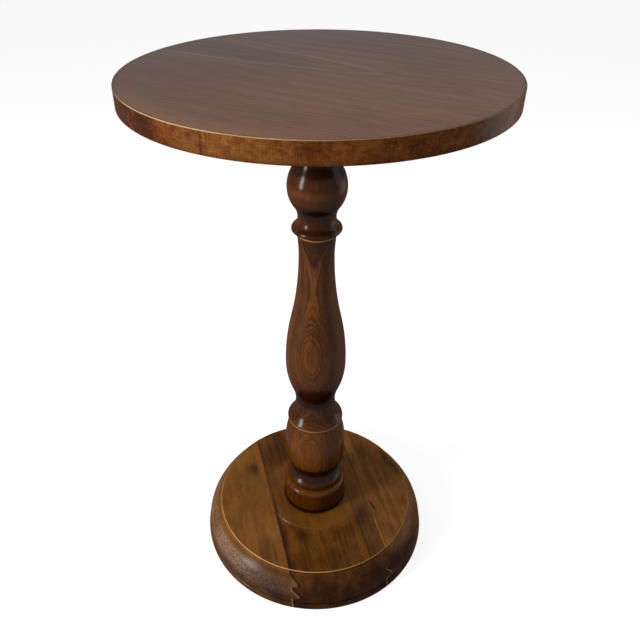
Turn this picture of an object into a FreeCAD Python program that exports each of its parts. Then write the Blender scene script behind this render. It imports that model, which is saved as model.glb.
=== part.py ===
import FreeCAD, Part
import Sketcher
import math
import os
import re

# Round side table. A veneered round top is screwed to a block that is glued on a turned column,
# and the column stands on a turned base of four boards glued edge to edge with toothed joints.
# Lengths are millimetres. +Z is up, the origin is on the floor on the column's axis, and -Y is
# the front.

# Each size is (name, value, what it is). Heights called rise are measured up from the base's
# seat, and those called drop are measured down from the column's shoulder, so that the tall
# vase between them takes up a change of the table's height.
SIZES = [
    ("table_height", 640, "floor to the face of the top"),
    ("glue_gap", 0.1, "glue line between curved faces"),
    ("cut_overrun", 5, "how far a cutting or splitting shape runs past what it cuts"),

    # Round top
    ("top_radius", 190, "outside of the edge band"),
    ("core_thickness", 18, "board inside the top"),
    ("veneer_thickness", 0.8, "face and backing veneers"),
    ("band_thickness", 1.2, "edge band"),
    ("band_arris", 0.4, "softened corner of the edge band"),
    ("seam_gap", 0.3, "opening of the edge band's butt seam"),
    ("seam_azimuth", 27.3, "degrees from the front to the seam, to the left"),

    # Mounting block and its screws
    ("block_radius", 75, "turned block under the top"),
    ("block_thickness", 24, "turned block under the top"),
    ("block_bevel", 6, "bevel around the block's lower edge"),
    ("screw_count", 4, "wood screws from the block into the top"),
    ("screw_circle", 52, "radius of the circle that the screws stand on"),
    ("screw_length", 36, "head to point"),
    ("screw_radius", 2.2, "shank"),
    ("screw_head_radius", 4.2, "countersunk head"),
    ("screw_head_height", 2.4, "countersunk head"),
    ("screw_point", 5, "length of the point"),
    ("screw_sink", 0.4, "head below the block's face"),
    ("screw_clearance", 0.15, "hole around the shank and head, and past the point"),

    # Column, its tenons and its shoulder
    ("tenon_clearance", 0.15, "around each tenon"),
    ("tenon_end_gap", 1, "past the end of each tenon"),
    ("tenon_chamfer", 1.5, "end of each tenon"),
    ("upper_tenon_radius", 14, "tenon in the block"),
    ("lower_tenon_radius", 16, "tenon in the base"),
    ("lower_tenon_length", 24, "tenon in the base"),
    ("collar_radius", 33, "collar under the block"),
    ("collar_height", 5, "straight edge of the collar"),
    ("upper_neck_radius", 20.1, "neck between collar and ball"),
    ("upper_neck_drop", 29, "neck between collar and ball"),
    ("ball_radius", 32.3, "ball"),
    ("ball_drop", 72, "middle of the ball"),
    ("ball_upper_share", 0.51, "part of the curve above the ball's middle that is round"),
    ("ball_lower_share", 0.62, "part of the curve below the ball's middle that is round"),
    ("ring_neck_radius", 21.1, "neck between ball and ring"),
    ("ring_neck_drop", 106.3, "neck between ball and ring"),
    ("ring_radius", 28.1, "nose of the ring"),
    ("ring_drop", 120.2, "nose of the ring"),
    ("ring_bottom_drop", 126.9, "where the ring meets the fillet"),
    ("ring_upper_share", 0.27, "part of the curve above the nose that is round"),
    ("ring_lower_share", 0.34, "part of the curve below the nose that is round"),
    ("fillet_radius", 21.9, "flat fillet under the ring"),
    ("fillet_height", 2.2, "flat fillet under the ring"),
    ("shaft_top_radius", 21.4, "slender shaft where it meets the fillet"),
    ("shaft_radius", 20.2, "slender shaft at its thinnest"),
    ("shaft_drop", 151.3, "slender shaft at its thinnest"),
    ("shaft_share", 0.4, "part of the shaft's end curve beside the fillet"),
    ("collar_share", 0.5, "part of the collar's curve that is hollow"),

    # Column, from the vase down to the foot
    ("vase_radius", 37.3, "belly of the vase"),
    ("vase_rise", 239.9, "belly of the vase"),
    ("vase_upper_share", 0.44, "part of the curve above the belly that is round"),
    ("vase_lower_share", 0.65, "part of the curve below the belly that is round"),
    ("waist_radius", 25.3, "waist between vase and bell"),
    ("waist_rise", 178.4, "waist between vase and bell"),
    ("bell_radius", 35.9, "lip of the bell"),
    ("bell_rise", 149.9, "lip of the bell"),
    ("bell_share", 0.11, "part of the bell's curve that is round"),
    ("bell_lip_height", 1.5, "straight edge of the lip"),
    ("bell_quirk", 3.5, "height of the sharp groove under the lip"),
    ("drum_top_radius", 33.3, "drum where it meets the groove"),
    ("drum_radius", 39.5, "side of the drum"),
    ("drum_upper_rise", 111.5, "top of the drum's straight side"),
    ("drum_lower_rise", 82, "bottom of the drum's straight side"),
    ("drum_bottom_radius", 33, "flat under the drum"),
    ("drum_bottom_rise", 72.5, "flat under the drum"),
    ("cove_neck_radius", 30, "neck above the cove"),
    ("cove_neck_rise", 62, "top of the cove"),
    ("cove_lip_radius", 37, "lip of the cove"),
    ("cove_lip_rise", 47.5, "lip of the cove"),
    ("cove_lip_round", 1.2, "rounded corner of the lip"),
    ("foot_rise", 36.8, "top of the foot"),
    ("foot_shoulder_radius", 38.4, "top of the foot"),
    ("foot_side_rise", 31, "top of the foot's straight side"),
    ("foot_radius", 42.3, "side of the foot"),
    ("foot_round_rise", 5, "bottom of the foot's straight side"),
    ("foot_seat_radius", 41.4, "flat that stands on the base"),

    # Turned base
    ("pad_thickness", 2, "felt pads under the base"),
    ("pad_radius", 12.5, "felt pads under the base"),
    ("pad_circle", 118, "radius of the circle that the pads stand on"),
    ("pad_count", 4, "felt pads"),
    ("pad_azimuth", 45, "degrees from +X to the first pad"),
    ("seat_height", 54, "floor to the flat seat of the column"),
    ("seat_radius", 69, "raised flat seat"),
    ("seat_step", 0.9, "bevelled step down from the seat"),
    ("rim_radius", 134.8, "crisp upper corner of the rim"),
    ("rim_height", 52, "crisp upper corner of the rim"),
    ("rim_arris", 0.6, "softened corner"),
    ("rim_fillet", 5.5, "straight side under the crisp corner"),
    ("rim_side_radius", 153.3, "bulge of the rim"),
    ("rim_side_height", 13, "bulge of the rim"),
    ("rim_quirk_radius", 149.5, "groove between the bulge and the flange"),
    ("flange_height", 9, "floor to the top of the flange"),
    ("flange_ledge", 2, "flat of the flange inside its rounding"),
    ("flange_side_height", 5, "floor to the top of the flange's straight side"),
    ("flange_radius", 155.2, "outside of the base"),

    # Toothed glue joints of the base
    ("joint_angle", 14.5, "degrees from front-to-back to the joints, to the right at the front"),
    ("left_joint", 63, "left joint, out from the column's axis"),
    ("strip_joint", 45, "joint on the inner side of the narrow strip"),
    ("right_joint", 67, "joint on the outer side of the narrow strip"),
    ("tooth_count", 2, "teeth in each joint"),
    ("tooth_first_height", 45, "floor to the top of the first tooth"),
    ("tooth_pitch", 15, "tooth to tooth"),
    ("tooth_depth", 7.5, "root to tip"),
    ("tooth_slant", 7, "height of the slanted upper flank"),
    ("tooth_tip", 3, "height of the blunt tip"),
    ("tooth_return", 1.5, "height of the nearly level lower flank"),

    # Lag screw and washer that pull the column down on the base
    ("counterbore_radius", 14, "recess for the head"),
    ("counterbore_depth", 14, "recess for the head"),
    ("washer_radius", 12, "washer"),
    ("washer_thickness", 1.8, "washer"),
    ("lag_radius", 4, "shank"),
    ("lag_length", 75, "under the head to the point"),
    ("lag_point", 7, "length of the point"),
    ("lag_head_sides", 6, "hexagon head"),
    ("lag_head_radius", 7.5, "across the head's corners, halved"),
    ("lag_head_height", 5.3, "hexagon head"),
    ("lag_clearance", 0.25, "hole around the shank, and past the point"),
]
SIZE_NAMES = {name for name, value, note in SIZES}

# How a sketch names its origin.
ORIGIN = (-1, 1)
SAME_PLACE = 1e-9

# Heights that several pieces share, written in the names above.
TOP_FACE = "table_height"
CORE_TOP = "(table_height - veneer_thickness)"
CORE_BOTTOM = "(table_height - veneer_thickness - core_thickness)"
TOP_UNDERSIDE = "(table_height - 2 * veneer_thickness - core_thickness)"
SHOULDER = f"({TOP_UNDERSIDE} - block_thickness)"
LEDGE = "(pad_thickness + counterbore_depth)"
LAG_SEAT = f"({LEDGE} - washer_thickness)"
TENON_END = "(seat_height - lower_tenon_length)"
CORE_RADIUS = "(top_radius - band_thickness - glue_gap)"
LAG_HOLE = "(lag_radius + lag_clearance)"


def sized(text):
    """The expression with each size's name led by the name of its sheet."""
    def lead(match):
        word = match.group()
        return f"Sizes.{word}" if word in SIZE_NAMES else word
    return re.sub(r"[a-z_]+", lead, text)


def make_sheet(doc):
    sheet = doc.addObject("Spreadsheet::Sheet", "Sizes")
    for row, (name, value, note) in enumerate(SIZES, start=1):
        sheet.set(f"A{row}", name)
        sheet.set(f"B{row}", str(value))
        sheet.set(f"C{row}", note)
        sheet.setAlias(f"B{row}", name)
    doc.recompute()
    return sheet


def measure(item, text):
    """The present value of an expression in sizes."""
    return float(item.evalExpression(sized(text)))


def count(doc, name):
    return round(measure(doc.Sizes, name))


class Outline:
    """A closed outline of lines and of arcs that are upright at one of their two ends."""

    def __init__(self, across, up):
        self.points = [(across, up)]
        self.kinds = []

    def line(self, across, up):
        self.points.append((across, up))
        self.kinds.append("line")

    def leave(self, across, up):
        """An arc that sets out upright."""
        self.points.append((across, up))
        self.kinds.append("leave")

    def meet(self, across, up):
        """An arc that arrives upright."""
        self.points.append((across, up))
        self.kinds.append("meet")

    def wave(self, across, up, share):
        """Two arcs, upright at both ends, that turn over at this share of the way."""
        last_across, last_up = self.points[-1]
        middle_across = f"({last_across} + ({across} - ({last_across})) * {share})"
        middle_up = f"({last_up} + ({up} - ({last_up})) * {share})"
        self.leave(middle_across, middle_up)
        self.meet(across, up)


def arc_radius(first, last):
    """The radius of an arc that is upright at one end, from its two ends."""
    across = f"({last[0]} - ({first[0]}))"
    up = f"({last[1]} - ({first[1]}))"
    return f"({across} ^ 2 + {up} ^ 2) / (2 * abs({across}))"


def arc_shape(start, end, kind):
    """The arc between two points, and whether it runs counter-clockwise from start to end."""
    upright, other = (start, end) if kind == "leave" else (end, start)
    across = other[0] - upright[0]
    up = other[1] - upright[1]
    reach = (across ** 2 + up ** 2) / (2 * across)
    centre = FreeCAD.Vector(upright[0] + reach, upright[1], 0)
    circle = Part.Circle(centre, FreeCAD.Vector(0, 0, 1), abs(reach))
    first = math.atan2(start[1] - centre.y, start[0] - centre.x)
    last = math.atan2(end[1] - centre.y, end[0] - centre.x)
    counter = math.remainder(last - first, math.tau) > 0
    if not counter:
        first, last = last, first
    return Part.ArcOfCircle(circle, first, last), counter


def hold(sketch, target, text):
    """Adds one dimension and binds it to its expression."""
    index = sketch.addConstraint(Sketcher.Constraint(*target, measure(sketch, text)))
    sketch.setExpression(f"Constraints[{index}]", sized(text))


def hold_point(sketch, shape, end, across, up):
    """Fixes a point at its distances from the sketch's origin."""
    for name, text, axis in (("DistanceX", across, -2), ("DistanceY", up, -1)):
        value = measure(sketch, text)
        if abs(value) < SAME_PLACE:
            sketch.addConstraint(Sketcher.Constraint("PointOnObject", shape, end, axis))
        elif value > 0:
            hold(sketch, (name, *ORIGIN, shape, end), text)
        else:
            hold(sketch, (name, shape, end, *ORIGIN), f"-({text})")


def draw(sketch, outline):
    """Draws a closed outline and fixes every point and radius to its expression."""
    spots = [(measure(sketch, across), measure(sketch, up)) for across, up in outline.points]
    kinds = outline.kinds + ["line"]
    ends = []
    for start, end, kind in zip(spots, spots[1:] + spots[:1], kinds):
        if kind == "line":
            shape = Part.LineSegment(FreeCAD.Vector(*start, 0), FreeCAD.Vector(*end, 0))
            forward = True
        else:
            shape, forward = arc_shape(start, end, kind)
        number = sketch.addGeometry(shape)
        ends.append((number, 1, 2) if forward else (number, 2, 1))
    following = ends[1:] + ends[:1]
    targets = outline.points[1:] + outline.points[:1]
    for end, after, kind, here, there in zip(ends, following, kinds, outline.points, targets):
        number, first, last = end
        sketch.addConstraint(Sketcher.Constraint("Coincident", number, last, after[0], after[1]))
        hold_point(sketch, number, first, *here)
        if kind != "line":
            hold(sketch, ("Radius", number), arc_radius(here, there))


def origin_part(body, role):
    return next(item for item in body.Origin.OriginFeatures if item.Role == role)


def new_body(doc, label):
    body = doc.addObject("PartDesign::Body", label)
    body.Label = label
    return body


def new_sketch(body, name, role, offset="0", side="x"):
    """A sketch on one of the body's origin planes, moved along one of the sketch's own axes."""
    sketch = body.newObject("Sketcher::SketchObject", name)
    sketch.AttachmentSupport = [(origin_part(body, role), "")]
    sketch.MapMode = "FlatFace"
    sketch.setExpression(f".AttachmentOffset.Base.{side}", sized(offset))
    return sketch


def turn(body, name, outline, kind="PartDesign::Revolution", axis_at="0"):
    """Turns an outline about an upright axis that stands at +X by this distance."""
    sketch = new_sketch(body, f"{name}_outline", "XZ_Plane", axis_at)
    draw(sketch, outline)
    feature = body.newObject(kind, name)
    feature.Profile = sketch
    feature.ReferenceAxis = (sketch, ["V_Axis"])
    feature.Angle = 360
    return feature


def repeat(body, feature, copies):
    """Repeats a feature evenly about the table's axis."""
    pattern = body.newObject("PartDesign::PolarPattern", f"{feature.Name}_pattern")
    pattern.Originals = [feature]
    pattern.Axis = (origin_part(body, "Z_Axis"), [""])
    pattern.Angle = 360
    pattern.setExpression("Occurrences", sized(copies))
    body.Tip = pattern
    return pattern


def spin_body(body, degrees):
    body.Placement = FreeCAD.Placement(FreeCAD.Vector(), FreeCAD.Rotation(FreeCAD.Vector(0, 0, 1), 1))
    body.setExpression("Placement.Rotation.Angle", sized(degrees))


def polygon(points):
    outline = Outline(*points[0])
    for point in points[1:]:
        outline.line(*point)
    return outline


def plain_disc(radius, bottom, top):
    return polygon([("0", bottom), (radius, bottom), (radius, top), ("0", top)])


def screw_outline(clearance):
    """A countersunk wood screw, point up, grown on all sides by a clearance."""
    head = f"({SHOULDER} + screw_sink - {clearance})"
    head_radius = f"(screw_head_radius + {clearance})"
    shank = f"(screw_radius + {clearance})"
    point = f"({SHOULDER} + screw_sink + screw_length + {clearance})"
    side = [(shank, f"{head} + screw_head_height"), (shank, f"{point} - screw_point")]
    return polygon([("0", head), (head_radius, head), *side, ("0", point)])


def cut_screw_holes(body, name):
    hole = turn(body, name, screw_outline("screw_clearance"), "PartDesign::Groove", "screw_circle")
    repeat(body, hole, "screw_count")


def make_top_core(doc):
    body = new_body(doc, "top_core")
    turn(body, "core_disc", plain_disc(CORE_RADIUS, CORE_BOTTOM, CORE_TOP))
    cut_screw_holes(body, "core_hole")
    return body


def make_top_veneers(doc):
    face = new_body(doc, "top_face_veneer")
    turn(face, "face_disc", plain_disc(CORE_RADIUS, CORE_TOP, TOP_FACE))
    backing = new_body(doc, "top_backing_veneer")
    turn(backing, "backing_disc", plain_disc(CORE_RADIUS, TOP_UNDERSIDE, CORE_BOTTOM))
    cut_screw_holes(backing, "backing_hole")
    return [face, backing]


def make_edge_band(doc):
    """The thin band around the top, which stops short of a full turn at its butt seam."""
    inside = "(top_radius - band_thickness)"
    outline = Outline(inside, TOP_UNDERSIDE)
    outline.line("top_radius - band_arris", TOP_UNDERSIDE)
    outline.line("top_radius", f"{TOP_UNDERSIDE} + band_arris")
    outline.line("top_radius", f"{TOP_FACE} - band_arris")
    outline.line("top_radius - band_arris", TOP_FACE)
    outline.line(inside, TOP_FACE)
    body = new_body(doc, "top_edge_band")
    strip = turn(body, "band_strip", outline)
    strip.setExpression("Angle", sized("360 - seam_gap / top_radius * 180 / pi"))
    spin_body(body, "-90 - seam_azimuth")
    return body


def make_block(doc):
    """The turned block under the top, bored for the column's upper tenon."""
    bore = "(upper_tenon_radius + tenon_clearance)"
    outline = Outline(bore, SHOULDER)
    outline.line("block_radius - block_bevel", SHOULDER)
    outline.line("block_radius", f"{SHOULDER} + block_bevel")
    outline.line("block_radius", TOP_UNDERSIDE)
    outline.line(bore, TOP_UNDERSIDE)
    body = new_body(doc, "mounting_block")
    turn(body, "block_disc", outline)
    cut_screw_holes(body, "block_hole")
    return body


def make_screws(doc):
    body = new_body(doc, "mounting_block_screws")
    body.AllowCompound = True
    screw = turn(body, "wood_screw", screw_outline("0"), axis_at="screw_circle")
    repeat(body, screw, "screw_count")
    return body


def column_outline():
    """Half of the column's section, from the lower tenon up the outside and down the axis."""
    pilot_top = f"({LAG_SEAT} + lag_length + lag_clearance)"
    tenon_top = f"({TOP_UNDERSIDE} - tenon_end_gap)"
    outline = Outline(LAG_HOLE, TENON_END)
    outline.line("lower_tenon_radius - tenon_chamfer", TENON_END)
    outline.line("lower_tenon_radius", f"{TENON_END} + tenon_chamfer")
    outline.line("lower_tenon_radius", "seat_height")

    # Foot, cove and drum
    outline.line("foot_seat_radius", "seat_height")
    outline.meet("foot_radius", "seat_height + foot_round_rise")
    outline.line("foot_radius", "seat_height + foot_side_rise")
    outline.leave("foot_shoulder_radius", "seat_height + foot_rise")
    outline.line("cove_lip_radius", "seat_height + foot_rise")
    outline.line("cove_lip_radius", "seat_height + cove_lip_rise - cove_lip_round")
    outline.leave("cove_lip_radius - cove_lip_round", "seat_height + cove_lip_rise")
    outline.meet("cove_neck_radius", "seat_height + cove_neck_rise")
    outline.line("cove_neck_radius", "seat_height + drum_bottom_rise")
    outline.line("drum_bottom_radius", "seat_height + drum_bottom_rise")
    outline.meet("drum_radius", "seat_height + drum_lower_rise")
    outline.line("drum_radius", "seat_height + drum_upper_rise")
    outline.leave("drum_top_radius", "seat_height + bell_rise - bell_lip_height - bell_quirk")

    # Bell, waist and vase
    outline.line("bell_radius", "seat_height + bell_rise - bell_lip_height")
    outline.line("bell_radius", "seat_height + bell_rise")
    outline.wave("waist_radius", "(seat_height + waist_rise)", "bell_share")
    outline.wave("vase_radius", "(seat_height + vase_rise)", "(1 - vase_lower_share)")
    outline.wave("shaft_radius", f"({SHOULDER} - shaft_drop)", "vase_upper_share")

    # Fillet and ring
    ring_bottom = f"({SHOULDER} - ring_bottom_drop)"
    outline.wave("shaft_top_radius", f"({ring_bottom} - fillet_height)", "(1 - shaft_share)")
    outline.line("fillet_radius", f"{ring_bottom} - fillet_height")
    outline.line("fillet_radius", ring_bottom)
    outline.wave("ring_radius", f"({SHOULDER} - ring_drop)", "(1 - ring_lower_share)")
    outline.wave("ring_neck_radius", f"({SHOULDER} - ring_neck_drop)", "ring_upper_share")

    # Ball, upper neck and collar
    outline.wave("ball_radius", f"({SHOULDER} - ball_drop)", "(1 - ball_lower_share)")
    outline.wave("upper_neck_radius", f"({SHOULDER} - upper_neck_drop)", "ball_upper_share")
    outline.wave("collar_radius", f"({SHOULDER} - collar_height)", "collar_share")
    outline.line("collar_radius", SHOULDER)

    # Upper tenon, and back down to the pilot hole of the lag screw
    outline.line("upper_tenon_radius", SHOULDER)
    outline.line("upper_tenon_radius", f"{tenon_top} - tenon_chamfer")
    outline.line("upper_tenon_radius - tenon_chamfer", tenon_top)
    outline.line("0", tenon_top)
    outline.line("0", pilot_top)
    outline.line(LAG_HOLE, f"{pilot_top} - lag_point")
    return outline


def make_column(doc):
    body = new_body(doc, "column")
    turn(body, "turned_column", column_outline())
    return body


def base_outline():
    """Half of the glued-up base's section, bored for the tenon, the lag screw and its head."""
    mortise = "(lower_tenon_radius + tenon_clearance)"
    mortise_floor = f"({TENON_END} - tenon_end_gap)"
    outline = Outline("counterbore_radius", "pad_thickness")
    outline.line("flange_radius", "pad_thickness")
    outline.line("flange_radius", "flange_side_height")
    outline.leave("rim_quirk_radius + flange_ledge", "flange_height")
    outline.line("rim_quirk_radius", "flange_height")
    outline.meet("rim_side_radius", "rim_side_height")
    outline.leave("rim_radius", "rim_height - rim_fillet")
    outline.line("rim_radius", "rim_height - rim_arris")
    outline.line("rim_radius - rim_arris", "rim_height")
    outline.line("seat_radius", "seat_height - seat_step")
    outline.line("seat_radius - seat_step", "seat_height")
    outline.line(mortise, "seat_height")
    outline.line(mortise, mortise_floor)
    outline.line(LAG_HOLE, mortise_floor)
    outline.line(LAG_HOLE, LEDGE)
    outline.line("counterbore_radius", LEDGE)
    return outline


def tooth_line(place, teeth):
    """The points of one toothed joint, from below the base to above it."""
    points = [(place, "-cut_overrun")]
    for tooth in reversed(range(teeth)):
        top = f"(tooth_first_height - tooth_pitch * {tooth})"
        tip = f"({place} + tooth_depth)"
        points.append((place, f"{top} - tooth_slant - tooth_tip - tooth_return"))
        points.append((tip, f"{top} - tooth_slant - tooth_tip"))
        points.append((tip, f"{top} - tooth_slant"))
        points.append((place, top))
    points.append((place, "seat_height + cut_overrun"))
    return points


def make_base_boards(doc):
    """The turned base blank, split along its joints into the boards it is glued from."""
    blank = new_body(doc, "base_blank")
    turn(blank, "turned_base", base_outline())
    edge = "(flange_radius + cut_overrun)"
    left_edge = [(f"-{edge}", "-cut_overrun"), (f"-{edge}", "seat_height + cut_overrun")]
    right_edge = [(edge, "-cut_overrun"), (edge, "seat_height + cut_overrun")]
    teeth = count(doc, "tooth_count")
    joints = [tooth_line(place, teeth) for place in ("-left_joint", "strip_joint", "right_joint")]
    lines = [left_edge, *joints, right_edge]
    boards = []
    for name, left, right in zip(("left", "centre", "strip", "right"), lines, lines[1:]):
        section = new_body(doc, f"{name}_section")
        sketch = new_sketch(section, f"{name}_section_outline", "XZ_Plane")
        draw(sketch, polygon(left + right[::-1]))
        pad = section.newObject("PartDesign::Pad", f"{name}_length")
        pad.Profile = sketch
        pad.Midplane = True
        pad.setExpression("Length", sized(f"2 * {edge}"))
        spin_body(section, "joint_angle")
        board = doc.addObject("Part::Common", f"base_board_{name}")
        board.Label = f"base_board_{name}"
        board.Base = blank
        board.Tool = section
        boards.append(board)
    return boards


def make_lag_screw(doc):
    """The hexagon-headed screw that runs up through the base into the column."""
    body = new_body(doc, "column_lag_screw")
    corners = []
    for corner in range(count(doc, "lag_head_sides")):
        azimuth = f"{corner} * 360 / lag_head_sides"
        corners.append((f"lag_head_radius * cos({azimuth})", f"lag_head_radius * sin({azimuth})"))
    sketch = new_sketch(body, "lag_head_outline", "XY_Plane", f"{LAG_SEAT} - lag_head_height", "z")
    draw(sketch, polygon(corners))
    head = body.newObject("PartDesign::Pad", "lag_head")
    head.Profile = sketch
    head.setExpression("Length", sized("lag_head_height"))
    point = f"({LAG_SEAT} + lag_length)"
    side = [("lag_radius", LAG_SEAT), ("lag_radius", f"{point} - lag_point")]
    turn(body, "lag_shank", polygon([("0", LAG_SEAT), *side, ("0", point)]))
    return body


def make_washer(doc):
    body = new_body(doc, "lag_washer")
    edge = [("washer_radius", LAG_SEAT), ("washer_radius", LEDGE)]
    turn(body, "washer_disc", polygon([(LAG_HOLE, LAG_SEAT), *edge, (LAG_HOLE, LEDGE)]))
    return body


def make_pads(doc):
    body = new_body(doc, "base_felt_pads")
    body.AllowCompound = True
    pad = turn(body, "felt_pad", plain_disc("pad_radius", "0", "pad_thickness"), axis_at="pad_circle")
    repeat(body, pad, "pad_count")
    spin_body(body, "pad_azimuth")
    return body


def check(doc, pieces):
    """Stops before anything is written if a step failed or a piece has no true solid."""
    failed = [item.Name for item in doc.Objects if {"Invalid", "Error"} & set(item.State)]
    if failed:
        raise RuntimeError(f"these steps failed: {failed}")
    for piece in pieces:
        shape = piece.Shape
        if shape.isNull() or not shape.isValid() or not shape.Solids:
            raise RuntimeError(f"{piece.Label} is not a true solid")


def main():
    doc = FreeCAD.newDocument("side_table")
    make_sheet(doc)
    pieces = [make_top_core(doc), *make_top_veneers(doc), make_edge_band(doc)]
    pieces += [make_block(doc), make_screws(doc), make_column(doc), *make_base_boards(doc)]
    pieces += [make_lag_screw(doc), make_washer(doc), make_pads(doc)]
    doc.recompute()
    check(doc, pieces)
    os.makedirs("parts", exist_ok=True)
    for piece in pieces:
        piece.Shape.exportStep(f"parts/{piece.Label}.step")


main()
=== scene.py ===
"""Dresses the round side table in its stained and lacquered woods, and sets it on a studio floor."""

import math

import bmesh
import bpy
from bpy.props import FloatProperty, FloatVectorProperty, PointerProperty
from mathutils import Matrix, Vector


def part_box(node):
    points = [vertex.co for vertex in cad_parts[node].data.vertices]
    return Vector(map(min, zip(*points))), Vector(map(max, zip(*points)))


bl_info = {
    "name": "Round side table",
    "version": (1, 0, 0),
    "blender": (4, 5, 0),
    "location": "3D View > Sidebar > Side table",
    "description": "Dresses a turned side table in stained, lacquered woods",
    "category": "Object",
}

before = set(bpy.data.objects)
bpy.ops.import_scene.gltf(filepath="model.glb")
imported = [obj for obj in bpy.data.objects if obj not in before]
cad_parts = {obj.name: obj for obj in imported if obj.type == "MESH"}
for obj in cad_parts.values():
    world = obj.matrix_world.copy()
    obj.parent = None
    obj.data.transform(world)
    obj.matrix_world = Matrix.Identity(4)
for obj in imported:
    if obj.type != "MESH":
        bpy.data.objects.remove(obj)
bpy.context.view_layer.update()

MM = 0.001

# Heights in millimetres, read from the frame: the base's seat, the column's shoulder and the top's face.
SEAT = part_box("base_board_centre")[1][2] / MM
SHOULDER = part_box("mounting_block")[0][2] / MM
TOP_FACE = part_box("top_face_veneer")[1][2] / MM

# The base's joints, as they are cut in the frame: how far each is from the column's axis, in millimetres.
LEFT_JOINT, STRIP_JOINT, RIGHT_JOINT = -63, 45, 67

# A joint's teeth from the lowest up, as (height, share of their depth), and a height above all of them.
TOOTH_DEPTH = 7.5
TOOTH_LINE = ((18.5, 0), (20, 1), (23, 1), (30, 0), (33.5, 0), (35, 1), (38, 1), (45, 0))
JOINT_TOP = 60

# How much of a mark is its soft edge, and a length that takes it through the whole board.
MARK_SOFT = 0.8
MARK_TALL = 1000


# How a finish is put together.

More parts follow.
